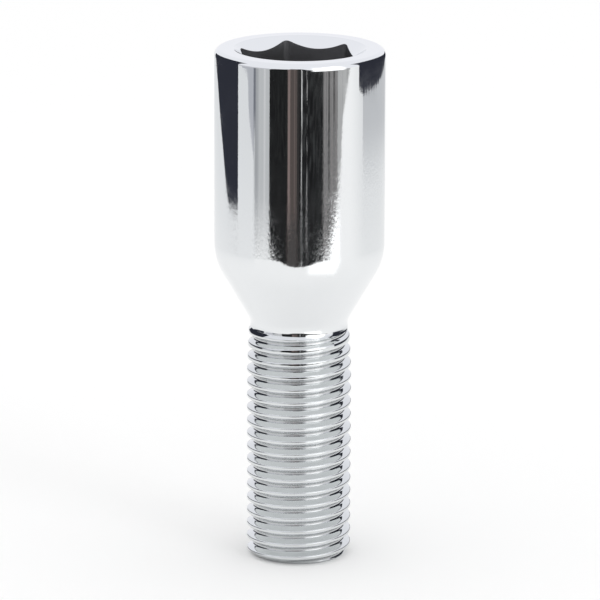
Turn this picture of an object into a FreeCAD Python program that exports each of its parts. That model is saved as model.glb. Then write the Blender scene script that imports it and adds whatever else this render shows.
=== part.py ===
# Lug bolt driven by a hexagon key: one forged and thread-rolled piece, standing on its threaded end.
# The origin is the centre of the flat end face, +Z points up through the head, lengths are millimetres.

import FreeCAD, Part
import math
import os

from FreeCAD import Vector

# Lengths along the bolt, each measured from the end face or from the feature below it
shank_length = 27.7
barrel_length = 23.83
end_chamfer = 0.75

# Rolled metric thread, 12 mm nominal, right-hand.
# The groove is a plain vee with a flat crest: its root stays shallower than the rolled radius below it.
thread_pitch = 1.5
crest_diameter = 11.76
groove_diameter = 10.6
crest_flat = 0.25
thread_start = 0.55
fade_turns = 1.0
runout_length = 5.9
neck_diameter = 11.2

# Seat and head
head_diameter = 19.02
seat_cone_angle = 60.0
shoulder_radius = 6.75
top_edge_radius = 0.68

# Hexagon socket in the head
key_size = 12.0
key_clearance = 0.05
socket_depth = 14.0
socket_turn = 44.6
mouth_diameter = 14.8
mouth_angle = 86.0

# How far the cutting shapes run past the faces they open
overcut = 0.1

crest_radius = crest_diameter / 2
groove_radius = groove_diameter / 2
neck_radius = neck_diameter / 2
head_radius = head_diameter / 2
seat_slope = math.tan(math.radians(seat_cone_angle / 2))
seat_top = shank_length + (head_radius - neck_radius) / seat_slope
bolt_length = seat_top + barrel_length
socket_flats = key_size + key_clearance


def tangent_arc(corner, before, after, radius):
    """The arc of the given radius that rounds a corner between two straight runs."""
    back = (before - corner).normalize()
    on = (after - corner).normalize()
    half_angle = back.getAngle(on) / 2
    reach = radius / math.tan(half_angle)
    centre = corner + (back + on).normalize() * (radius / math.sin(half_angle))
    middle = centre + (corner - centre).normalize() * radius
    return Part.Arc(corner + back * reach, middle, corner + on * reach).toShape()


def outline_point(radius, height):
    """A point of the turned outline, in the XZ plane."""
    return Vector(radius, 0, height)


def turned_blank():
    """The bolt before its thread and socket: chamfered shank, run-out taper, cone seat and barrel head."""
    foot = outline_point(0, 0)
    end_edge = outline_point(crest_radius - end_chamfer, 0)
    chamfer_top = outline_point(crest_radius, end_chamfer)
    taper_start = outline_point(crest_radius, shank_length - runout_length)
    neck = outline_point(neck_radius, shank_length)
    shoulder = outline_point(head_radius, seat_top)
    top_corner = outline_point(head_radius, bolt_length)
    top_centre = outline_point(0, bolt_length)

    shoulder_round = tangent_arc(shoulder, neck, top_corner, shoulder_radius)
    top_round = tangent_arc(top_corner, shoulder, top_centre, top_edge_radius)
    run = [foot, end_edge, chamfer_top, taper_start, neck, shoulder_round.firstVertex(True).Point]
    edges = [Part.makeLine(a, b) for a, b in zip(run, run[1:])]
    edges.append(shoulder_round)
    edges.append(Part.makeLine(shoulder_round.lastVertex(True).Point, top_round.firstVertex(True).Point))
    edges.append(top_round)
    edges.append(Part.makeLine(top_round.lastVertex(True).Point, top_centre))
    edges.append(Part.makeLine(top_centre, foot))
    return Part.Face(Part.Wire(edges)).revolve(Vector(0, 0, 0), Vector(0, 0, 1), 360)


def groove_section():
    """The groove's vee in the XZ plane, its root at the start of a helix and its mouth past the crests."""
    crest_half = (thread_pitch - crest_flat) / 2
    outer_radius = crest_radius + overcut
    outer_half = crest_half * (outer_radius - groove_radius) / (crest_radius - groove_radius)
    root = outline_point(groove_radius, 0)
    corners = [root, outline_point(outer_radius, outer_half), outline_point(outer_radius, -outer_half)]
    return Part.makePolygon(corners + [root])


def swept_groove(helix):
    """The space that the groove's section fills when it follows a helix without turning in its own plane."""
    sweep = Part.BRepOffsetAPI.MakePipeShell(helix)
    sweep.setBiNormalMode(Vector(0, 0, 1))
    sweep.add(groove_section())
    sweep.build()
    sweep.makeSolid()
    return sweep.shape()


def thread_groove():
    """The rolled right-hand groove, in two lengths: the even thread, and the fade that climbs out at the neck."""
    turns_below_end = 2
    start = thread_start - turns_below_end * thread_pitch
    even_turns = (shank_length - start) / thread_pitch - fade_turns
    even = swept_groove(Part.makeLongHelix(thread_pitch, thread_pitch * even_turns, groove_radius, 0))
    even.translate(Vector(0, 0, start))

    fade_height = thread_pitch * fade_turns
    climb_angle = math.degrees(math.atan((neck_radius - groove_radius) / fade_height))
    fade = swept_groove(Part.makeHelix(thread_pitch, fade_height, groove_radius, climb_angle))
    fade.rotate(Vector(0, 0, 0), Vector(0, 0, 1), 360 * even_turns)
    fade.translate(Vector(0, 0, start + thread_pitch * even_turns))
    return even, fade


def hexagon_socket():
    """The space the key enters: a conical mouth, then the hexagon down to its flat floor."""
    corner_radius = socket_flats / 2 / math.cos(math.radians(30))
    top = bolt_length + overcut
    corners = []
    for side in range(6):
        angle = math.radians(socket_turn + 60 * side)
        corners.append(Vector(corner_radius * math.cos(angle), corner_radius * math.sin(angle), top))
    hexagon = Part.Face(Part.makePolygon(corners + [corners[0]]))
    punch = hexagon.extrude(Vector(0, 0, -(socket_depth + overcut)))

    mouth_slope = math.tan(math.radians(mouth_angle / 2))
    mouth_top_radius = mouth_diameter / 2 + overcut * mouth_slope
    mouth_depth = mouth_top_radius / mouth_slope
    mouth = Part.makeCone(0, mouth_top_radius, mouth_depth, Vector(0, 0, top - mouth_depth))
    return punch.fuse(mouth)


def lug_bolt():
    """The finished bolt, as one solid."""
    even, fade = thread_groove()
    rolled = turned_blank().cut(even).cut(fade)
    driven = rolled.cut(hexagon_socket())
    return driven.removeSplitter().Solids[0]


os.makedirs("parts", exist_ok=True)
bolt = lug_bolt()
bolt.exportStep("parts/lug_bolt.step")
print("lug_bolt", bolt.isValid(), round(bolt.Volume, 1), "mm3, length", round(bolt.BoundBox.ZMax, 3))
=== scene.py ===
"""Looks of the lug bolt: a chrome-plated wheel bolt standing upright on its threaded end.

The bolt is one piece of metal. Its visible surface is modelled in two turned forms that are joined:
the barrel head with its key socket, and the shank with its rolled thread.
"""

from __future__ import annotations

import logging
import math
from collections.abc import Callable, Sequence
from dataclasses import dataclass
from enum import Enum

import bmesh
import bpy
import numpy as np
from mathutils import Matrix, Vector

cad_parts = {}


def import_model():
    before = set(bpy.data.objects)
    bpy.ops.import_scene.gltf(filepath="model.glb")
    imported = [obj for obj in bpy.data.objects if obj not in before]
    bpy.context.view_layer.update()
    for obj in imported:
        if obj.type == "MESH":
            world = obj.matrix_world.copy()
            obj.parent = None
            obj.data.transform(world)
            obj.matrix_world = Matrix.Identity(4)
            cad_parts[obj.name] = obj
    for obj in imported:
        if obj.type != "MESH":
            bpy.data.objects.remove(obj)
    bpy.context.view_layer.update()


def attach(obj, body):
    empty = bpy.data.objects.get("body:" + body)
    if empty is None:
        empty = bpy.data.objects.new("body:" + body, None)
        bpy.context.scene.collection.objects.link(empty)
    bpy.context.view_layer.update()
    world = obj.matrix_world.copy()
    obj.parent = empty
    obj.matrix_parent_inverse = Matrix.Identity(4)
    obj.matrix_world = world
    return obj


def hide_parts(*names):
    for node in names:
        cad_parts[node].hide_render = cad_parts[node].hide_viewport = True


Piece = bpy.types.Object
Node = bpy.types.Node
Socket = bpy.types.NodeSocket
Colour = tuple[float, float, float]
Pairs = tuple[tuple[float, float], ...]

LOG = logging.getLogger("lug_bolt")
MM = 0.001
WELD = 1e-7


class Slot(Enum):
    """The record's material slots."""

    CHROME = "chrome"


class Rays(Enum):
    """The kinds of ray a studio card may be left out of."""

    CAMERA = "visible_camera"
    DIFFUSE = "visible_diffuse"
    TRANSMISSION = "visible_transmission"
    VOLUME = "visible_volume_scatter"
    SHADOW = "visible_shadow"


@dataclass(frozen=True)
class Point:
    """A point of a turned outline, in millimetres."""

    radius: float
    height: float

    def place(self) -> Vector:
        """The point in the XZ plane, in metres."""
        return Vector((self.radius * MM, 0.0, self.height * MM))


class Bench:
    """The editing steps that the pieces share."""

    @staticmethod
    def clear() -> None:
        """Leaves edit mode and deselects everything."""
        if bpy.context.mode != "OBJECT":
            bpy.ops.object.mode_set(mode="OBJECT")
        bpy.ops.object.select_all(action="DESELECT")

    @staticmethod
    def take(piece: Piece) -> None:
        """Makes a piece the only selected and active one.

        Args:
            piece: the object to work on.
        """
        Bench.clear()
        piece.select_set(True)
        bpy.context.view_layer.objects.active = piece

    @staticmethod
    def edit(piece: Piece) -> None:
        """Takes a piece into edit mode; clear leads out of it."""
        Bench.take(piece)
        bpy.ops.object.mode_set(mode="EDIT")

    @staticmethod
    def name(piece: Piece, name: str) -> Piece:
        """Names an object and its mesh.

        Args:
            piece: the object.
            name: the name for both.

        Returns:
            The same object.
        """
        piece.name = name
        piece.data.name = name
        return piece

    @staticmethod
    def settle(piece: Piece) -> None:
        """Moves an object's place and turn into its mesh, so that the object sits at the origin."""
        Bench.take(piece)
        bpy.ops.object.transform_apply(location=True, rotation=True, scale=True)

    @staticmethod
    def pick_vertices(piece: Piece, wanted: Callable[[Vector], bool]) -> None:
        """Selects vertices in edit mode by their place.

        Args:
            piece: the object in edit mode.
            wanted: says of a place whether its vertex is selected.
        """
        bpy.ops.mesh.select_mode(type="VERT")
        bpy.ops.mesh.select_all(action="DESELECT")
        edit = bmesh.from_edit_mesh(piece.data)
        for vertex in edit.verts:
            vertex.select = wanted(vertex.co)
        edit.select_flush_mode()
        bmesh.update_edit_mesh(piece.data)

    @staticmethod
    def pick_edges(piece: Piece, wanted: Callable[[bmesh.types.BMEdge], bool]) -> int:
        """Selects edges in edit mode.

        Args:
            piece: the object in edit mode.
            wanted: says of an edge whether it is selected.

        Returns:
            How many edges are selected.
        """
        bpy.ops.mesh.select_mode(type="EDGE")
        bpy.ops.mesh.select_all(action="DESELECT")
        edit = bmesh.from_edit_mesh(piece.data)
        count = 0
        for edge in edit.edges:
            if wanted(edge):
                edge.select_set(True)
                count += 1
        bmesh.update_edit_mesh(piece.data)
        return count

    @staticmethod
    def weld_and_face_out() -> None:
        """Merges doubled vertices of the mesh in edit mode and points its faces outwards."""
        bpy.ops.mesh.select_all(action="SELECT")
        bpy.ops.mesh.remove_doubles(threshold=WELD)
        bpy.ops.mesh.normals_make_consistent(inside=False)

    @staticmethod
    def apply(piece: Piece, modifier: bpy.types.Modifier) -> None:
        """Applies one modifier of a piece."""
        Bench.take(piece)
        bpy.ops.object.modifier_apply(modifier=modifier.name)

    @staticmethod
    def smooth(piece: Piece, degrees: float) -> None:
        """Shades a piece smooth where its faces meet at up to the given angle."""
        Bench.take(piece)
        bpy.ops.object.shade_smooth_by_angle(angle=math.radians(degrees))

    @staticmethod
    def weigh_normals(piece: Piece) -> None:
        """Lets large faces stay flat beside the small ones that round their edges.

        Args:
            piece: the object.
        """
        weighing = piece.modifiers.new("flat faces", "WEIGHTED_NORMAL")
        weighing.mode = "FACE_AREA"
        weighing.weight = 50
        weighing.keep_sharp = True
        Bench.apply(piece, weighing)


@dataclass
class TurnedForm:
    """A solid of revolution about +Z, drawn as an outline and spun."""

    steps: int = 256

    def turn(self, name: str, outline: Sequence[Point]) -> Piece:
        """Draws the outline point by point from one corner of a small plane, and spins it.

        Args:
            name: the name of the new object.
            outline: the outline from axis to axis, lower end first.

        Returns:
            The closed solid, its faces pointing outwards.
        """
        Bench.clear()
        bpy.ops.mesh.primitive_plane_add(size=2 * MM, location=(0.0, 0.0, 0.0))
        form = Bench.name(bpy.context.object, name)
        Bench.edit(form)
        Bench.pick_vertices(form, lambda place: not (place.x > 0 and place.y > 0))
        bpy.ops.mesh.delete(type="VERT")
        bpy.ops.mesh.select_all(action="SELECT")
        bpy.ops.transform.translate(value=outline[0].place() - Vector((MM, MM, 0.0)))
        for before, after in zip(outline, outline[1:]):
            bpy.ops.mesh.extrude_region_move(TRANSFORM_OT_translate={"value": after.place() - before.place()})
        bpy.ops.mesh.select_all(action="SELECT")
        bpy.ops.mesh.spin(steps=self.steps, angle=2 * math.pi, center=(0.0, 0.0, 0.0), axis=(0.0, 0.0, 1.0))
        Bench.weld_and_face_out()
        Bench.clear()
        return form

    @staticmethod
    def arc(centre: Point, radius: float, start: float, end: float, steps: int) -> list[Point]:
        """Points of an arc of the outline.

        Args:
            centre: the arc's centre.
            radius: its radius in millimetres.
            start: the first angle in degrees, from +X towards +Z.
            end: the last angle in degrees.
            steps: how many runs it has.

        Returns:
            The points from start to end, both included.
        """
        points = []
        for step in range(steps + 1):
            angle = math.radians(start + (end - start) * step / steps)
            points.append(
                Point(centre.radius + radius * math.cos(angle), centre.height + radius * math.sin(angle))
            )
        return points


@dataclass
class BarrelHead(TurnedForm):
    """The round head with its cone seat below and the hexagon socket in its top.

    The neck's round goes on valley_rise degrees below its narrowest place. Beside each round a run of
    round_guard stays straight, so that the flat faces next to it are shaded flat.
    """

    neck_radius: float = 5.6
    neck_height: float = 27.7
    valley_radius: float = 5.45
    valley_height: float = 26.97
    valley_rise: float = 12.0
    seat_half_angle: float = 30.0
    head_radius: float = 9.51
    top_height: float = 58.302
    shoulder_radius: float = 6.75
    top_edge_radius: float = 0.68
    mouth_radius: float = 7.4
    mouth_half_angle: float = 46.5
    lip_radius: float = 0.09
    key_flats: float = 12.2
    key_turn: float = 43.2
    key_depth: float = 14.0
    key_corner_radius: float = 0.5
    socket_edge_break: float = 0.07
    punch_overrun: float = 3.0
    mouth_overlap: float = 0.5
    round_guard: float = 0.12
    smooth_angle: float = 32.0

    def outline(self) -> list[Point]:
        """The head's outline, from the axis inside the neck to the axis inside the socket's mouth.

        Returns:
            The outline's points, lower end first.
        """
        seat = math.radians(self.seat_half_angle)
        slope = math.tan(seat)
        drop = (self.neck_height - self.valley_height) * slope - (self.neck_radius - self.valley_radius)
        neck_round = drop / (math.sin(seat) * slope - 1 + math.cos(seat))
        valley = Point(self.valley_radius + neck_round, self.valley_height)
        neck = self.arc(valley, neck_round, 180.0 + self.valley_rise, 180.0 - self.seat_half_angle, steps=14)
        corner = self.neck_height + (self.head_radius - self.neck_radius) / slope
        reach = self.shoulder_radius * math.tan(math.radians(self.seat_half_angle / 2))
        barrel_start = corner + reach
        below = Point(self.head_radius - self.shoulder_radius, barrel_start)
        shoulder = self.arc(below, self.shoulder_radius, -self.seat_half_angle, 0.0, steps=20)
        barrel_end = self.top_height - self.top_edge_radius
        above = Point(self.head_radius - self.top_edge_radius, barrel_end)
        edge = self.arc(above, self.top_edge_radius, 0.0, 90.0, steps=14)
        tilt = math.radians(self.mouth_half_angle)
        turn_back = math.radians(90.0 - self.mouth_half_angle)
        setback = self.lip_radius * math.tan(turn_back / 2)
        rim = Point(self.mouth_radius + setback, self.top_height - self.lip_radius)
        lip = self.arc(rim, self.lip_radius, 90.0, 90.0 + math.degrees(turn_back), steps=4)
        inner_radius = self.key_flats / 2 - self.mouth_overlap
        inner_height = self.top_height - (self.mouth_radius - inner_radius) / math.tan(tilt)
        guard = self.round_guard
        return [
            Point(0.0, neck[0].height),
            *neck,
            Point(neck[-1].radius + guard * slope, neck[-1].height + guard),
            Point(shoulder[0].radius - guard * slope, shoulder[0].height - guard),
            *shoulder,
            Point(self.head_radius, barrel_start + guard),
            Point(self.head_radius, (barrel_start + barrel_end) / 2),
            Point(self.head_radius, barrel_end - guard),
            *edge,
            Point(edge[-1].radius - guard, self.top_height),
            Point(lip[0].radius + guard / 2, self.top_height),
            *lip,
            Point(lip[-1].radius - guard / 2 * math.tan(tilt), lip[-1].height - guard / 2),
            Point(inner_radius, inner_height),
            Point(0.0, inner_height),
        ]

    def key_punch(self) -> Piece:
        """Makes the hexagon punch that sinks the socket, its six corners a little rounded.

        Returns:
            The punch.
        """
        top = self.top_height + self.punch_overrun
        floor = self.top_height - self.key_depth
        corner = self.key_flats / 2 / math.cos(math.radians(30))
        Bench.clear()
        bpy.ops.mesh.primitive_cylinder_add(
            vertices=6,
            radius=corner * MM,
            depth=(top - floor) * MM,
            location=(0.0, 0.0, (top + floor) / 2 * MM),
            rotation=(0.0, 0.0, math.radians(self.key_turn - 30.0)),
        )
        punch = Bench.name(bpy.context.object, "key_punch")
        Bench.settle(punch)
        Bench.edit(punch)
        Bench.pick_edges(punch, lambda edge: abs(edge.verts[0].co.z - edge.verts[1].co.z) > MM)
        bpy.ops.mesh.bevel(offset=self.key_corner_radius * MM, segments=4, affect="EDGES")
        Bench.clear()
        return punch

    def break_socket_edge(self, head: Piece) -> None:
        """Breaks the sharp edge where the conical mouth meets the hexagon's walls.

        Args:
            head: the head with its socket cut.
        """
        mouth_depth, below_lip, inside_rim, least_angle = 3.0, 0.02, 0.1, math.radians(25)
        lowest = (self.top_height - mouth_depth) * MM
        highest = (self.top_height - self.lip_radius - below_lip) * MM
        widest = (self.mouth_radius - inside_rim) * MM

        def on_edge(edge: bmesh.types.BMEdge) -> bool:
            """Picks the sharp outward edges between the mouth and the walls.

            Args:
                edge: an edge of the head.

            Returns:
                Whether it is one of them.
            """
            if len(edge.link_faces) != 2 or edge.calc_face_angle() < least_angle:
                return False
            places = [vertex.co for vertex in edge.verts]
            if any(not lowest < place.z < highest or place.xy.length > widest for place in places):
                return False
            return edge.calc_face_angle_signed() > 0

        Bench.edit(head)
        picked = Bench.pick_edges(head, on_edge)
        LOG.info("socket edge: %d edges broken", picked)
        bpy.ops.mesh.bevel(offset=self.socket_edge_break * MM, segments=2, affect="EDGES", clamp_overlap=True)
        Bench.clear()

    def dress_socket(self, head: Piece, finish: int) -> None:
        """Gives the hexagon's walls and floor their own finish.

        Args:
            head: the head with its socket.
            finish: the place of the finish among the head's materials.
        """
        beside_corner, below_floor, wall_slant, deep_from = 0.02, 0.05, 0.15, 4.0
        corner = (self.key_flats / 2 / math.cos(math.radians(30)) + beside_corner) * MM
        floor = (self.top_height - self.key_depth - below_floor) * MM
        for face in head.data.polygons:
            upright = abs(face.normal.z) < wall_slant
            deep = face.center.z < (self.top_height - deep_from) * MM
            if face.center.xy.length < corner and face.center.z > floor and (upright or deep):
                face.material_index = finish

    def build(self) -> Piece:
        """Turns the head and sinks its socket.

        Returns:
            The finished head.
        """
        head = self.turn("bolt_head", self.outline())
        punch = self.key_punch()
        socket = head.modifiers.new("socket", "BOOLEAN")
        socket.operation = "DIFFERENCE"
        socket.solver = "EXACT"
        socket.object = punch
        Bench.apply(head, socket)
        bpy.data.objects.remove(punch, do_unlink=True)
        self.break_socket_edge(head)
        Bench.smooth(head, self.smooth_angle)
        Bench.weigh_normals(head)
        return head


@dataclass
class ThreadedShank:
    """The shank with its rolled right-hand thread, its run-out taper and its chamfered end.

    The groove climbs out over the last fade_turns below the neck. Under the cone the shank narrows to the
    valley with a round, and hidden_height is how far it goes on inside the head. crest_crown is how fast a
    crest falls away beside its middle, per millimetre.

    The mesh has its rows where the groove bends. From the groove's middle to the next crest, groove_rows says
    how far across half the groove each row stands, and land_rows how far across half the crest.
    """

    pitch: float = 1.5
    first_groove: float = 0.55
    crest_radius: float = 5.88
    root_radius: float = 5.09
    root_round: float = 0.25
    crest_round: float = 0.08
    crest_crown: float = 0.38
    end_radius: float = 5.13
    taper_start: float = 21.8
    neck_height: float = 27.7
    neck_radius: float = 5.6
    valley_radius: float = 5.44
    valley_height: float = 26.66
    ring_round: float = 0.45
    ring_share: float = 0.95
    flank_angle: float = 30.0
    least_depth: float = 0.02
    fade_turns: float = 1.5
    fade_limit: float = 1.3
    columns: int = 160
    rows: int = 24
    turns_below: int = 2
    turns_above: int = 2
    chamfer_clear: float = 1.0
    hidden_height: float = 0.36
    smooth_angle: float = 50.0
    groove_rows: tuple[float, ...] = (0.0, 0.09, 0.18, 0.27, 0.42, 0.66, 0.88, 0.95, 1.0, 1.0, 1.0, 1.0, 1.0)
    land_rows: tuple[float, ...] = (0.0, 0.0, 0.0, 0.0, 0.0, 0.0, 0.0, 0.0, 0.08, 0.24, 0.45, 0.7, 1.0)

    def cover(self, height: np.ndarray) -> np.ndarray:
        """The radius of the shank's turned envelope, before the groove.

        Args:
            height: heights in millimetres.

        Returns:
            The envelope's radius at each height.
        """
        taper = (self.crest_radius - self.neck_radius) / (self.neck_height - self.taper_start)
        straight = self.crest_radius - np.clip(height - self.taper_start, 0.0, None) * taper
        chamfer = self.end_radius + height
        ring_reach = self.ring_round * self.ring_share
        below = np.clip(self.valley_height - height, 0.0, ring_reach)
        ring = self.valley_radius + self.ring_round - np.sqrt(self.ring_round**2 - below**2)
        ring = np.where(height < self.valley_height - ring_reach, self.crest_radius, ring)
        return np.minimum(np.minimum(straight, chamfer), ring)

    def rise(self, offset: np.ndarray) -> np.ndarray:
        """How far the groove's wall has risen from its root: a round bottom, then a 30 degree flank.

        Args:
            offset: distances along the axis from the groove's middle, in millimetres.

        Returns:
            The rise in millimetres.
        """
        away = np.abs(offset)
        flank_start = self.root_round * math.cos(math.radians(self.flank_angle))
        bottom = self.root_round - np.sqrt(np.clip(self.root_round**2 - away**2, 0.0, None))
        flank = self.root_round / 2 + (away - flank_start) * math.tan(math.radians(90 - self.flank_angle))
        return np.where(away < flank_start, bottom, flank)

    def half_width(self, depth: np.ndarray) -> np.ndarray:
        """Half the groove's width at the crests.

        Args:
            depth: the groove's depth in millimetres.

        Returns:
            The half width in millimetres.
        """
        flank_start = self.root_round * math.cos(math.radians(self.flank_angle))
        on_flank = flank_start + (depth - self.root_round / 2) / math.tan(math.radians(90 - self.flank_angle))
        in_bottom = np.sqrt(np.clip(self.root_round**2 - (self.root_round - depth) ** 2, 0.0, None))
        return np.where(depth > self.root_round / 2, on_flank, in_bottom)

    def root(self, centre: np.ndarray) -> np.ndarray:
        """The radius of the groove's root, which climbs out of the shank below the neck.

        Args:
            centre: heights of the groove's middle in millimetres.

        Returns:
            The root's radius.
        """
        fade_start = self.neck_height - self.fade_turns * self.pitch
        share = np.clip((centre - fade_start) / (self.neck_height - fade_start), 0.0, self.fade_limit)
        return self.root_radius + (self.neck_radius - self.root_radius) * share

    def blank_helicoid(self) -> Piece:
        """Sweeps one pitch of a plain wall up a helix until it is longer than the shank.

        Returns:
            The swept wall.
        """
        start = self.first_groove - self.turns_below * self.pitch
        turns = math.ceil((self.neck_height + self.turns_above * self.pitch - start) / self.pitch)
        Bench.clear()
        bpy.ops.mesh.primitive_plane_add(
            size=self.pitch * MM,
            location=(self.crest_radius * MM, 0.0, (start + self.pitch / 2) * MM),
            rotation=(math.radians(90), 0.0, 0.0),
        )
        shank = Bench.name(bpy.context.object, "bolt_shank")
        Bench.settle(shank)
        Bench.edit(shank)
        Bench.pick_vertices(shank, lambda place: place.x > self.crest_radius * MM)
        bpy.ops.mesh.delete(type="VERT")
        bpy.ops.mesh.select_all(action="SELECT")
        bpy.ops.transform.translate(value=(self.pitch / 2 * MM, 0.0, 0.0))
        bpy.ops.mesh.subdivide(number_cuts=self.rows - 1)
        Bench.clear()
        sweep = shank.modifiers.new("helix", "SCREW")
        sweep.axis = "Z"
        sweep.angle = 2 * math.pi
        sweep.screw_offset = self.pitch * MM
        sweep.steps = self.columns
        sweep.render_steps = self.columns
        sweep.iterations = turns
        sweep.use_smooth_shade = True
        Bench.apply(shank, sweep)
        Bench.edit(shank)
        Bench.weld_and_face_out()
        Bench.clear()
        return shank

    def roll_thread(self, shank: Piece) -> None:
        """Presses the groove into the swept wall: each row goes to its own place across the groove.

        Args:
            shank: the swept wall.
        """
        mesh = shank.data
        places = np.empty(len(mesh.vertices) * 3)
        mesh.vertices.foreach_get("co", places)
        places = places.reshape(-1, 3) / MM
        angle = np.mod(np.arctan2(places[:, 1], places[:, 0]), 2 * math.pi)
        start = self.first_groove - self.turns_below * self.pitch
        across = (places[:, 2] - start) / self.pitch - angle / (2 * math.pi)
        row = np.rint(across * self.rows)
        turn = np.floor(row / self.rows + 0.5)
        step = row / self.rows - turn
        centre = start + self.pitch * (turn + angle / (2 * math.pi))
        root = self.root(centre)
        above_chamfer = np.clip(centre, self.chamfer_clear, None)
        depth = np.clip(self.cover(above_chamfer) - root, self.least_depth, None)
        width = self.half_width(depth)
        land = self.pitch / 2 - width
        rows = np.linspace(0.0, 0.5, len(self.groove_rows))
        share = np.abs(step)
        in_groove = np.interp(share, rows, self.groove_rows)
        in_land = np.interp(share, rows, self.land_rows)
        offset = np.sign(step) * (in_groove * width + in_land * land)
        height = centre + offset
        wall = root + self.rise(offset)
        cover = self.cover(height) - self.crest_crown * (self.pitch / 2 - np.abs(offset)) ** 2
        gap = np.clip(self.crest_round - np.abs(wall - cover), 0.0, None) / self.crest_round
        radius = np.minimum(wall, cover) - gap**2 * self.crest_round / 4
        places[:, 0] = radius * np.cos(angle)
        places[:, 1] = radius * np.sin(angle)
        places[:, 2] = height
        mesh.vertices.foreach_set("co", (places * MM).ravel())
        mesh.update()

    def trim_ends(self, shank: Piece) -> None:
        """Cuts the shank off flat at the end face and inside the head, and closes both cuts.

        Args:
            shank: the threaded wall.
        """
        Bench.edit(shank)
        top = (self.valley_height + self.hidden_height) * MM
        for height, side in ((0.0, "clear_inner"), (top, "clear_outer")):
            bpy.ops.mesh.select_all(action="SELECT")
            cut = {"plane_co": (0.0, 0.0, height), "plane_no": (0.0, 0.0, 1.0), side: True}
            bpy.ops.mesh.bisect(**cut, use_fill=True, threshold=WELD)
        Bench.weld_and_face_out()
        Bench.clear()

    def build(self) -> Piece:
        """Sweeps, rolls and trims the shank.

        Returns:
            The finished shank.
        """
        shank = self.blank_helicoid()
        self.roll_thread(shank)
        self.trim_ends(shank)
        Bench.smooth(shank, self.smooth_angle)
        return shank


@dataclass
class NodeBench:
    """Adds and joins shader nodes in one tree."""

    tree: bpy.types.NodeTree

    def add(self, kind: str, **settings: object) -> Node:
        """Adds a shader node.

        Args:
            kind: the node's type name after ShaderNode.
            settings: its properties by name; numbers for sockets are set with feed.

        Returns:
            The node.
        """
        node = self.tree.nodes.new("ShaderNode" + kind)
        for name, value in settings.items():
            setattr(node, name, value)
        return node

    def put(self, socket: Socket, value: object) -> None:
        """Links an input socket when the value is another node's output, and otherwise sets it.

        Args:
            socket: the input socket.
            value: the output, number or colour.
        """
        if isinstance(value, Socket):
            self.tree.links.new(value, socket)
        else:
            socket.default_value = value

    def feed(self, node: Node, **values: object) -> Node:
        """Sets or links input sockets, each named with its spaces as underscores.

        Args:
            node: the node.
            values: a number, a colour or another node's output for each socket.

        Returns:
            The same node.
        """
        for name, value in values.items():
            self.put(node.inputs[name.replace("_", " ")], value)
        return node

    def math(self, operation: str, *values: object, clamp: bool = False) -> Socket:
        """A math node.

        Args:
            operation: the operation's name.
            values: numbers or outputs.
            clamp: whether the result is held between 0 and 1.

        Returns:
            The result's socket.
        """
        node = self.add("Math", operation=operation, use_clamp=clamp)
        for index, value in enumerate(values):
            self.put(node.inputs[index], value)
        return node.outputs[0]

    def blend(self, share: Socket, first: object, second: object) -> Socket:
        """A mix of two colours.

        Args:
            share: how much of the second there is.
            first: the first colour or its output.
            second: the second.

        Returns:
            The mixed colour's socket.
        """
        node = self.add("Mix", data_type="RGBA")
        for index, value in ((0, share), (6, first), (7, second)):
            self.put(node.inputs[index], value)
        return node.outputs[2]

    def show(self, output: str, share: Socket, first: Node, second: Node) -> None:
        """Mixes two shaders and links them to a new output of the tree.

        Args:
            output: the output node's type name after ShaderNode.
            share: how much of the second there is.
            first: the first shader's node.
            second: the second's.
        """
        mix = self.add("MixShader")
        for index, value in enumerate((share, first.outputs[0], second.outputs[0])):
            self.put(mix.inputs[index], value)
        self.feed(self.add(output), Surface=mix.outputs[0])

    def span(self, value: Socket, low: float, high: float) -> Socket:
        """Maps a value smoothly to the range from 0 at low to 1 at high."""
        node = self.add("MapRange", interpolation_type="SMOOTHSTEP")
        return self.feed(node, Value=value, From_Min=low, From_Max=high).outputs["Result"]

    def noise(self, place: Socket, scale: object, detail: float, rough: float = 0.5) -> Socket:
        """A noise pattern of a scale per metre, with its number of finer layers and their strength."""
        node = self.add("TexNoise")
        return self.feed(node, Vector=place, Scale=scale, Detail=detail, Roughness=rough).outputs["Fac"]

    def along(self, place: Socket, share: float) -> Socket:
        """Coordinates whose Z is scaled by a share, so that a pattern stretches along the bolt."""
        return self.feed(self.add("Mapping"), Vector=place, Scale=(1.0, 1.0, share)).outputs["Vector"]


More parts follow.
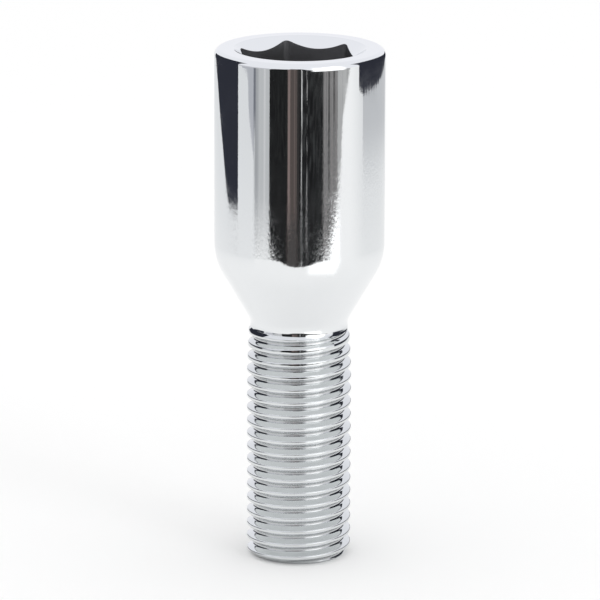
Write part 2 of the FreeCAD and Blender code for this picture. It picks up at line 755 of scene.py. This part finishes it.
@dataclass(frozen=True)
class PlatedSkin:
    """The group that the finishes share: how bright plating departs from a perfect mirror.

    Scales are per metre.
    """

    name: str = "plated_skin"
    slow_scale: float = 420.0
    slow_share: float = 0.6
    fine_scale: float = 2600.0
    cloud_scale: float = 260.0
    cloud_span: tuple[float, float] = (0.42, 0.68)
    haze_share: float = 0.12
    film_scale: float = 150.0
    film_stretch: float = 0.4
    root_shade_blend: float = 0.22

    def tree(self) -> bpy.types.NodeTree:
        """The group, built once: inputs for the ripple, the brush marks and the haze, outputs for the shader.

        Returns:
            The group's tree.
        """
        made = bpy.data.node_groups.get(self.name)
        if made:
            return made
        group = bpy.data.node_groups.new(self.name, "ShaderNodeTree")
        sockets = group.interface
        sockets.new_socket("Place", in_out="INPUT", socket_type="NodeSocketVector")
        for name in ("Ripple", "Ripple Size", "Brush", "Haze", "Brush Scale", "Base Roughness", "Thin Below"):
            sockets.new_socket(name, in_out="INPUT", socket_type="NodeSocketFloat")
        sockets.new_socket("Brush Direction", in_out="INPUT", socket_type="NodeSocketVector")
        for name in ("Height", "Roughness", "Film", "Thin"):
            sockets.new_socket(name, in_out="OUTPUT", socket_type="NodeSocketFloat")
        bench = NodeBench(group)
        given = group.nodes.new("NodeGroupInput").outputs
        result = group.nodes.new("NodeGroupOutput")

        place = given["Place"]
        slow = bench.noise(place, self.slow_scale, detail=2.0)
        fine_scale = bench.math("DIVIDE", self.fine_scale, given["Ripple Size"])
        fine = bench.noise(place, fine_scale, detail=3.0, rough=0.55)
        brush_place = bench.feed(bench.add("Mapping"), Vector=place, Scale=given["Brush Direction"])
        brush = bench.noise(brush_place.outputs["Vector"], given["Brush Scale"], detail=2.0, rough=0.6)
        ripple = bench.math("MULTIPLY", fine, given["Ripple"])
        marks = bench.math("MULTIPLY", brush, given["Brush"])
        slow_height = bench.math("MULTIPLY", slow, self.slow_share)
        height = bench.math("ADD", slow_height, bench.math("ADD", ripple, marks))

        cloud = bench.span(bench.noise(place, self.cloud_scale, detail=4.0), *self.cloud_span)
        haze = bench.math("MULTIPLY", cloud, given["Haze"])
        rough = bench.math("ADD", given["Base Roughness"], bench.math("MULTIPLY", haze, self.haze_share))
        film = bench.noise(bench.along(place, self.film_stretch), self.film_scale, detail=3.0)
        # Painted shade: below the given radius, in the thread's root, the colour darkens; it also stands for
        # weaker plating there.
        level_place = bench.add("VectorMath", operation="MULTIPLY")
        bench.put(level_place.inputs[0], place)
        bench.put(level_place.inputs[1], (1.0, 1.0, 0.0))
        radius = bench.add("VectorMath", operation="LENGTH")
        bench.put(radius.inputs[0], level_place.outputs["Vector"])
        below = bench.math("SUBTRACT", given["Thin Below"], radius.outputs["Value"])
        root_shade = bench.span(below, 0.0, self.root_shade_blend * MM)
        bench.feed(result, Height=height, Roughness=rough, Film=film, Thin=root_shade)
        return group


@dataclass(frozen=True)
class ChromeFinish:
    """Bright chrome over steel, as one part of the bolt wears it.

    The plating is pitted between the worn heights, and higher up on the right. There worn_side is how far
    from the axis the pits start and are full, and worn_side_rise how far above the worn heights they are full
    and end. A finish that isn't worn keeps its worn heights above the bolt.
    """

    name: str
    colour: Colour
    shade: Colour
    roughness: float
    ripple: float
    ripple_size: float
    brush: float
    haze: float
    bump: float
    worn_height: tuple[float, float] = (100.0, 101.0)
    worn_fade: tuple[float, float] = (2.0, 10.0)
    worn_side: tuple[float, float] = (1.0, 3.2)
    worn_side_rise: tuple[float, float] = (5.0, 19.0)
    worn_side_share: float = 0.95
    worn_bump: float = 0.0
    worn_haze: float = 0.0
    grain_scale: float = 4800.0
    grain_stretch: float = 0.5
    pit_span: tuple[float, float] = (0.3, 0.7)
    brush_direction: tuple[float, float, float] = (1.0, 1.0, 0.08)
    brush_scale: float = 5200.0
    # The next two fields paint shade into the thread's root: below that radius the colour darkens to the
    # given grey, which also stands for weaker plating there.
    root_shade_below: float = 0.0
    root_shade_colour: Colour = (0.52, 0.53, 0.54)

    def material(self) -> bpy.types.Material:
        """The finish as a material.

        Returns:
            The material, with its height, roughness and colour from the shared group.
        """
        material = bpy.data.materials.new(self.name)
        material.use_nodes = True
        bench = NodeBench(material.node_tree)
        shader = material.node_tree.nodes["Principled BSDF"]
        place = bench.add("TexCoord").outputs["Object"]
        skin = bench.add("Group")
        skin.node_tree = PlatedSkin().tree()
        bench.feed(
            skin,
            Place=place,
            Ripple=self.ripple,
            Ripple_Size=self.ripple_size,
            Brush=self.brush,
            Haze=self.haze,
            Base_Roughness=self.roughness,
            Brush_Direction=self.brush_direction,
            Brush_Scale=self.brush_scale,
            Thin_Below=self.root_shade_below * MM,
        )
        tint = bench.blend(skin.outputs["Film"], (*self.colour, 1.0), (*self.shade, 1.0))
        # Painted shade in the thread's root, with weaker plating there: the colour darkens below the given
        # radius.
        root_shaded = bench.blend(skin.outputs["Thin"], tint, (*self.root_shade_colour, 1.0))
        at = bench.feed(bench.add("SeparateXYZ"), Vector=place).outputs
        low, high = self.worn_height
        fade_in, fade_out = self.worn_fade
        inner, outer = self.worn_side
        full_rise, end_rise = self.worn_side_rise
        below = bench.span(at["Z"], (high + fade_out) * MM, high * MM)
        right = bench.span(at["X"], inner * MM, outer * MM)
        rise = bench.span(at["Z"], (high + end_rise) * MM, (high + full_rise) * MM)
        aside = bench.math("MULTIPLY", bench.math("MULTIPLY", right, rise), self.worn_side_share)
        above = bench.span(at["Z"], (low - fade_in) * MM, low * MM)
        worn = bench.math("MULTIPLY", bench.math("MAXIMUM", below, aside), above)
        coarse = bench.noise(bench.along(place, self.grain_stretch), self.grain_scale, detail=2.0, rough=0.6)
        grain = bench.math("MULTIPLY", bench.math("MULTIPLY", coarse, worn), self.worn_bump)
        relief = bench.math("ADD", skin.outputs["Height"], grain)
        bump = bench.feed(bench.add("Bump"), Strength=1.0, Distance=self.bump * MM, Height=relief)
        pits = bench.math("MULTIPLY", bench.span(coarse, *self.pit_span), worn)
        scuff = bench.math("MULTIPLY", pits, self.worn_haze)
        bench.feed(
            shader,
            Base_Color=root_shaded,
            Metallic=1.0,
            Roughness=bench.math("ADD", skin.outputs["Roughness"], scuff),
            Normal=bump.outputs["Normal"],
        )
        return material


MIRROR_CHROME = ChromeFinish(
    name="mirror_chrome",
    colour=(0.805, 0.82, 0.832),
    shade=(0.835, 0.85, 0.858),
    roughness=0.03,
    ripple=0.5,
    ripple_size=1.0,
    brush=0.15,
    haze=0.3,
    bump=0.0012,
    worn_height=(30.0, 36.5),
    worn_bump=5.0,
    worn_haze=0.08,
)

BORE_PLATING = ChromeFinish(
    name="bore_plating",
    colour=(0.16, 0.16, 0.165),
    shade=(0.30, 0.30, 0.31),
    roughness=0.42,
    ripple=1.0,
    ripple_size=2.0,
    brush=3.0,
    haze=0.5,
    bump=0.004,
)

ROLLED_CHROME = ChromeFinish(
    name="rolled_chrome",
    colour=(0.77, 0.79, 0.795),
    shade=(0.66, 0.68, 0.69),
    roughness=0.05,
    ripple=0.9,
    ripple_size=0.8,
    brush=1.6,
    haze=0.6,
    bump=0.0016,
    brush_direction=(1.0, 1.0, 12.0),
    brush_scale=420.0,
    # Painted shade in the thread's root, with weaker plating there, below this radius in millimetres.
    root_shade_below=5.25,
)


@dataclass
class LugBolt:
    """The whole bolt: head and shank joined into one piece of metal."""

    head: BarrelHead
    shank: ThreadedShank
    mirror: ChromeFinish = MIRROR_CHROME
    bore: ChromeFinish = BORE_PLATING
    rolled: ChromeFinish = ROLLED_CHROME

    def build(self) -> Piece:
        """Builds both forms, dresses and joins them, and puts the piece in place of the plain solid.

        Returns:
            The bolt.
        """
        bolt = self.head.build()
        bolt.data.materials.append(self.mirror.material())
        bolt.data.materials.append(self.bore.material())
        self.head.dress_socket(bolt, bolt.data.materials.find(self.bore.name))
        LOG.info("%s: %d faces", bolt.name, len(bolt.data.polygons))
        shank = self.shank.build()
        shank.data.materials.append(self.rolled.material())
        LOG.info("%s: %d faces", shank.name, len(shank.data.polygons))
        Bench.take(bolt)
        shank.select_set(True)
        bpy.ops.object.join()
        Bench.name(bolt, "lug_bolt_surface")
        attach(bolt, "root")
        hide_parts("lug_bolt")
        return bolt


@dataclass(frozen=True)
class RoomBand:
    """A stretch of the room around the white table, as the chrome mirrors it.

    Bearings are in degrees round the bolt, 0 towards the camera and positive to the right. The near edge is
    given as distances in millimetres by bearing, the top as heights above the horizon in degrees by bearing.
    The level is the card's height over the table in millimetres, and a higher card hides a lower one. The
    feathers are the shares of the card over which its near edge and its other edges fade. A streak is a
    second shade in soft folds: streaks says how many there are, and breaks how much each is broken up.
    """

    name: str
    near: Pairs
    shade: Colour
    feather: float = 0.003
    tops: Pairs = ((0.0, 6.0),)
    opacity: float = 1.0
    level: float = 0.9
    side_feather: float = 0.0
    streak: Colour | None = None
    streaks: float = 8.0
    breaks: float = 0.02
    streak_from: float = 0.5
    streak_blend: float = 0.16
    seed: float = 0.0
    far: float = 620.0


@dataclass
class Studio:
    """The pale floor, the soft lights, the room that the chrome mirrors, and the camera."""

    bands: tuple[RoomBand, ...] = ()
    card_gap: float = 12.0

    def floor(self) -> Piece:
        """The plain pale floor.

        Returns:
            The floor.
        """
        Bench.clear()
        bpy.ops.mesh.primitive_circle_add(vertices=96, radius=6.0, fill_type="NGON", location=(0.0, 0.0, 0.0))
        floor = Bench.name(bpy.context.object, "floor")
        material = bpy.data.materials.new("pale_floor")
        material.use_nodes = True
        shader = material.node_tree.nodes["Principled BSDF"]
        bench = NodeBench(material.node_tree)
        bench.feed(shader, Base_Color=(0.97, 0.97, 0.97, 1.0), Roughness=0.9, Specular_IOR_Level=0.1)
        floor.data.materials.append(material)
        return floor

    def cloth(self, band: RoomBand) -> bpy.types.Material:
        """The material of one stretch of the room: a plain shade whose near edge fades out.

        Args:
            band: the stretch.

        Returns:
            The material.
        """
        material = bpy.data.materials.new(band.name)
        material.use_nodes = True
        tree = material.node_tree
        tree.nodes.clear()
        bench = NodeBench(tree)
        glow = bench.feed(bench.add("Emission"), Color=(*band.shade, 1.0), Strength=1.0)
        clear = bench.add("BsdfTransparent")
        card = bench.add("TexCoord").outputs["UV"]
        across = bench.feed(bench.add("SeparateXYZ"), Vector=card).outputs
        if band.streak:
            broken = bench.math("MULTIPLY_ADD", across["Y"], band.breaks, band.seed)
            along = bench.feed(bench.add("CombineXYZ"), X=across["X"], Y=broken).outputs["Vector"]
            folds = bench.add("TexNoise", noise_dimensions="2D")
            bench.feed(folds, Vector=along, Scale=band.streaks, Detail=3.0, Roughness=0.6)
            lit = bench.span(folds.outputs["Fac"], band.streak_from, band.streak_from + band.streak_blend)
            bench.feed(glow, Color=bench.blend(lit, (*band.shade, 1.0), (*band.streak, 1.0)))
        seen = bench.math("MULTIPLY", bench.span(across["Y"], 0.0, band.feather), band.opacity)
        if band.side_feather:
            from_middle = bench.math("ABSOLUTE", bench.math("SUBTRACT", across["X"], 0.5))
            for edge, place in ((0.5, from_middle), (1.0, across["Y"])):
                inward = bench.math("SUBTRACT", edge, place)
                seen = bench.math("MULTIPLY", seen, bench.span(inward, 0.0, band.side_feather))
        bench.show("OutputMaterial", seen, clear, glow)
        return material

    def band(self, band: RoomBand) -> Piece:
        """One stretch of the room: it lies beyond the table's edge and stands up at its far side.

        Args:
            band: the stretch.

        Returns:
            The card, which only mirrors show.
        """
        Bench.clear()
        columns, rows, lying = 48, 24, 20
        bpy.ops.mesh.primitive_grid_add(x_subdivisions=columns, y_subdivisions=rows, size=1.0)
        card = Bench.name(bpy.context.object, band.name)
        first, last = band.near[0][0], band.near[-1][0]
        far = band.far - self.card_gap * band.level
        for vertex in card.data.vertices:
            out = (vertex.co.y + 0.5) * rows
            bearing = first + (last - first) * (vertex.co.x + 0.5)
            near = np.interp(bearing, *zip(*band.near))
            top = np.interp(bearing, *zip(*band.tops))
            reach = near + (far - near) * min(out / lying, 1.0)
            wall = max(far * math.tan(math.radians(top)), 0.0)
            lift = band.level + max(out - lying, 0.0) / (rows - lying) * wall
            angle = math.radians(bearing)
            vertex.co = Vector((reach * math.sin(angle), -reach * math.cos(angle), lift)) * MM
        card.data.materials.append(self.cloth(band))
        for ray in Rays:
            setattr(card, ray.value, False)
        return card

    def world(self) -> None:
        """A pale even room above the horizon."""
        world = bpy.data.worlds.new("pale_room")
        bpy.context.scene.world = world
        world.use_nodes = True
        tree = world.node_tree
        tree.nodes.clear()
        bench = NodeBench(tree)
        path = bench.add("LightPath").outputs
        seen = bench.math("MAXIMUM", path["Is Camera Ray"], path["Is Glossy Ray"])
        white = bench.feed(bench.add("Background"), Color=(1.0, 1.0, 1.0, 1.0), Strength=0.98)
        room = bench.feed(bench.add("Background"), Color=(0.95, 0.955, 1.0, 1.0), Strength=1.0)
        bench.show("OutputWorld", bench.math("MAXIMUM", seen, path["Is Transmission Ray"]), white, room)

    def softbox(self, name: str, place: Vector, size: float, power: float, mirrored: bool = True) -> Piece:
        """A soft square lamp aimed at the bolt's middle.

        Args:
            name: the lamp's name.
            place: where it hangs, in metres.
            size: its side in metres.
            power: its power in watts.
            mirrored: whether the chrome shows it.

        Returns:
            The lamp.
        """
        Bench.clear()
        bpy.ops.object.light_add(type="AREA", location=place)
        lamp = bpy.context.object
        lamp.name = name
        lamp.data.size = size
        lamp.data.energy = power
        lamp.visible_glossy = mirrored
        aim = Vector((0.0, 0.0, 0.03)) - place
        lamp.rotation_euler = aim.to_track_quat("-Z", "Y").to_euler()
        return lamp

    def camera(self) -> Piece:
        """The camera at the photograph's viewing angle.

        Returns:
            The camera.
        """
        distance, height_angle, pitch, heading, roll = 0.51914, 0.25012, 0.25115, 0.00017, 0.00361
        aim_height = 30.033 * MM
        out, up = distance * math.cos(height_angle), distance * math.sin(height_angle)
        place = Vector((0.0, -out, aim_height + up))
        bpy.ops.object.camera_add(location=place)
        camera = bpy.context.object
        camera.name = "photo_camera"
        camera.data.sensor_width = 36.0
        camera.data.lens = 277.455
        camera.data.clip_start = 0.01
        camera.data.clip_end = 50.0
        turn = (
            Matrix.Rotation(-heading, 3, "Z")
            @ Matrix.Rotation(math.pi / 2 - pitch, 3, "X")
            @ Matrix.Rotation(roll, 3, "Z")
        )
        camera.rotation_euler = turn.to_euler()
        bpy.context.scene.camera = camera
        return camera

    def build(self) -> None:
        """Sets the whole studio up."""
        self.floor()
        for band in self.bands:
            self.band(band)
        self.world()
        self.softbox("key_softbox", Vector((0.75, -0.75, 0.75)), size=0.4, power=1.2)
        self.softbox("top_softbox", Vector((0.0, 0.1, 1.1)), size=0.8, power=0.45, mirrored=False)
        self.camera()
        bpy.context.scene.view_settings.view_transform = "Standard"


BLACK = (0.012, 0.012, 0.013)
SLATE = (0.030, 0.032, 0.044)
NO_WALL = ((0.0, -1.0),)
FRONT_TOPS = (
    *((-40.5, 4.0), (-38.0, 12.0), (-33.0, 16.0), (-16.0, 20.0), (-12.0, 26.0), (3.0, 26.0)),
    *((8.0, 14.0), (17.0, 4.0), (20.0, 0.0), (58.0, 0.0)),
)

ROOM = (
    # Painted shade on the white table to the left, where less light falls; seen only in the chrome.
    RoomBand(
        name="left_table_shade", shade=(0.82, 0.83, 0.845), feather=0.3, level=0.15, tops=NO_WALL,
        near=((-180, 50), (-62, 50)),
    ),
    # Painted shade on the white table to the right, where less light falls; seen only in the chrome.
    RoomBand(
        name="right_table_shade", shade=(0.82, 0.83, 0.84), feather=0.3, side_feather=0.27, level=0.17,
        tops=NO_WALL, near=((66, 50), (196, 50)),
    ),
    RoomBand(
        name="left_wall", shade=(0.62, 0.62, 0.66), feather=0.1, level=0.2, tops=((-90, 12), (-40.5, 16)),
        near=((-90, 600), (-40.5, 600)),
    ),
    # Painted highlight: a glowing card, no lamp, that lights nothing and shows only in the chrome as a bright
    # pane.
    RoomBand(
        name="painted_highlight_pane", shade=(1.5, 1.5, 1.5), feather=0.05, level=2.0, side_feather=0.14,
        tops=((13, 56), (66, 56)), near=((13, 300), (66, 300)),
    ),
    # Painted pool of light on the table near the bolt: a glowing card, no lamp, seen only in the chrome.
    RoomBand(
        name="table_glow", shade=(1.35, 1.35, 1.35), feather=0.15, level=0.3, side_feather=0.12, far=145.0,
        tops=NO_WALL, near=((9.5, 42), (54, 42)),
    ),
    # Painted pool of light on the table, where the chrome throws back the key lamp's light: a glowing card,
    # no lamp, seen only in the chrome.
    RoomBand(
        name="painted_caustic_spot", shade=(1.6, 1.6, 1.6), feather=0.5, level=0.4, side_feather=0.35, far=190.0,
        tops=NO_WALL, near=((38, 40), (57, 40)),
    ),
    RoomBand(
        name="dark_left", shade=SLATE,
        tops=((-156, 9), (-151, 12), (-143, 19), (-131, 30), (-124, 35), (-112, 40), (-90, 43)),
        near=(
            (-156, 286), (-151, 277), (-143, 262), (-135, 240), (-126, 218), (-114, 186), (-108, 178.5),
            (-90, 177.5),
        ),
    ),
    RoomBand(
        name="grey_left", shade=(0.56, 0.57, 0.58), feather=0.12, level=0.3, streak=(0.7, 0.7, 0.71),
        streaks=5.0, near=((-62, 132), (-40.5, 132)),
    ),
    RoomBand(
        name="grey_left_slope", shade=(0.3, 0.31, 0.33), feather=0.12, level=0.6, side_feather=0.5,
        opacity=0.6, near=((-65.5, 150), (-53.5, 150)),
    ),
    RoomBand(
        name="grey_left_edge", shade=(0.19, 0.2, 0.23), feather=0.06, level=0.8, side_feather=0.3,
        near=((-64.5, 227), (-60, 225)),
    ),
    RoomBand(
        name="grey_left_flare", shade=(0.5, 0.51, 0.55), feather=0.02, level=0.45, tops=NO_WALL,
        near=(
            (-83, 289), (-80, 285), (-75, 281), (-72.5, 273), (-72.2, 261), (-71.6, 248), (-67.5, 230),
            (-63, 212),
        ),
    ),
    RoomBand(
        name="black_front_left", shade=BLACK, tops=FRONT_TOPS, streak=(0.026, 0.027, 0.027), streaks=9.0,
        breaks=12.0, streak_from=0.44,
        near=((-40.5, 159), (-37.5, 153), (-33.5, 147), (-25.4, 136), (-20, 108), (-16.2, 93)),
    ),
    RoomBand(
        name="brown_front", shade=(0.1, 0.083, 0.078), tops=FRONT_TOPS, streak=(0.26, 0.2, 0.19),
        streaks=3.0, seed=2.0, near=((-16.2, 94), (-14.9, 90), (-8, 83.5), (-3.5, 83)),
    ),
    RoomBand(
        name="brown_shadow", shade=(0.062, 0.058, 0.058), level=1.2, side_feather=0.1, far=190.0,
        tops=NO_WALL, streak=(0.12, 0.112, 0.11), streaks=4.0, breaks=6.0, seed=2.0,
        near=((-16.2, 94), (-14.9, 90), (-8, 83.5), (-3.5, 83)),
    ),
    RoomBand(
        name="dark_front", shade=(0.03, 0.029, 0.029), tops=FRONT_TOPS, streak=(0.09, 0.085, 0.085),
        streaks=3.0, seed=3.0, near=((-3.5, 83), (-0.5, 82.5)),
    ),
    RoomBand(name="black_line", shade=BLACK, tops=FRONT_TOPS, near=((-0.5, 82.5), (1.7, 82.5))),
    RoomBand(
        name="pale_line", shade=(0.1, 0.1, 0.1), tops=FRONT_TOPS, streak=(0.75, 0.75, 0.75), streaks=1.0,
        breaks=14.0, streak_from=0.36, near=((1.7, 82.5), (3.2, 83)),
    ),
    RoomBand(
        name="black_front_right", shade=BLACK, tops=FRONT_TOPS, streak=(0.045, 0.047, 0.048), streaks=8.0,
        breaks=8.0, streak_from=0.46, seed=4.0,
        near=((3.2, 83), (8.7, 87), (16.5, 102), (24.3, 132), (30.5, 145)),
    ),
    RoomBand(
        name="broken_line", shade=BLACK, level=1.2, streak=(0.6, 0.6, 0.6), streaks=1.0, breaks=30.0,
        seed=5.0, near=((8.4, 150), (9.8, 150)),
    ),
    RoomBand(
        name="grey_front_right", shade=(0.08, 0.08, 0.08), feather=0.004, tops=FRONT_TOPS,
        streak=(0.28, 0.27, 0.27), streaks=6.0, streak_from=0.4, seed=7.0,
        near=((30.5, 145), (39.2, 158), (44.8, 168), (46, 170), (49, 180), (51, 187)),
    ),
    RoomBand(
        name="pale_front_right", shade=(0.27, 0.27, 0.27), feather=0.02, tops=FRONT_TOPS,
        streak=(0.48, 0.48, 0.48), streaks=3.0, streak_from=0.35, seed=9.0,
        near=(
            (51, 187), (51.9, 189.4), (54.7, 199), (56.1, 212.8), (57.5, 232), (58.8, 244), (62.5, 258),
            (66, 270), (70, 284),
        ),
    ),
    RoomBand(
        name="dark_line_right", shade=(0.04, 0.04, 0.04), feather=0.08, opacity=0.8, level=1.2,
        side_feather=0.3, tops=NO_WALL, near=((44.4, 232), (47.2, 232)),
    ),
    RoomBand(
        name="grey_right", shade=(0.6, 0.61, 0.63), feather=0.11, level=0.3,
        near=((92.5, 192), (96, 190), (160, 190)),
    ),
    RoomBand(
        name="dark_right", shade=SLATE, feather=0.006,
        tops=((85, 44), (112, 40), (124, 34), (131, 29), (143, 18), (151, 11), (160, 7)),
        near=(
            (85, 267), (92, 262), (94.5, 259.5), (97, 264), (99.5, 260), (102, 265), (104.5, 260.5),
            (108, 265), (110.5, 261), (114, 265), (117, 261.5), (120, 266), (123, 262), (126, 266.5),
            (129, 263.5), (133, 268), (138, 268), (152, 275), (160, 281), (164, 285),
        ),
    ),
)


def main() -> None:
    """Loads the frame, builds the bolt and its studio, and notes the sizes."""
    logging.basicConfig(level=logging.INFO, format="%(name)s: %(message)s")
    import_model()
    bolt = LugBolt(BarrelHead(), ThreadedShank()).build()
    LOG.info("%s: %d vertices", bolt.name, len(bolt.data.vertices))
    Studio(bands=ROOM).build()


if __name__ == "__main__":
    main()
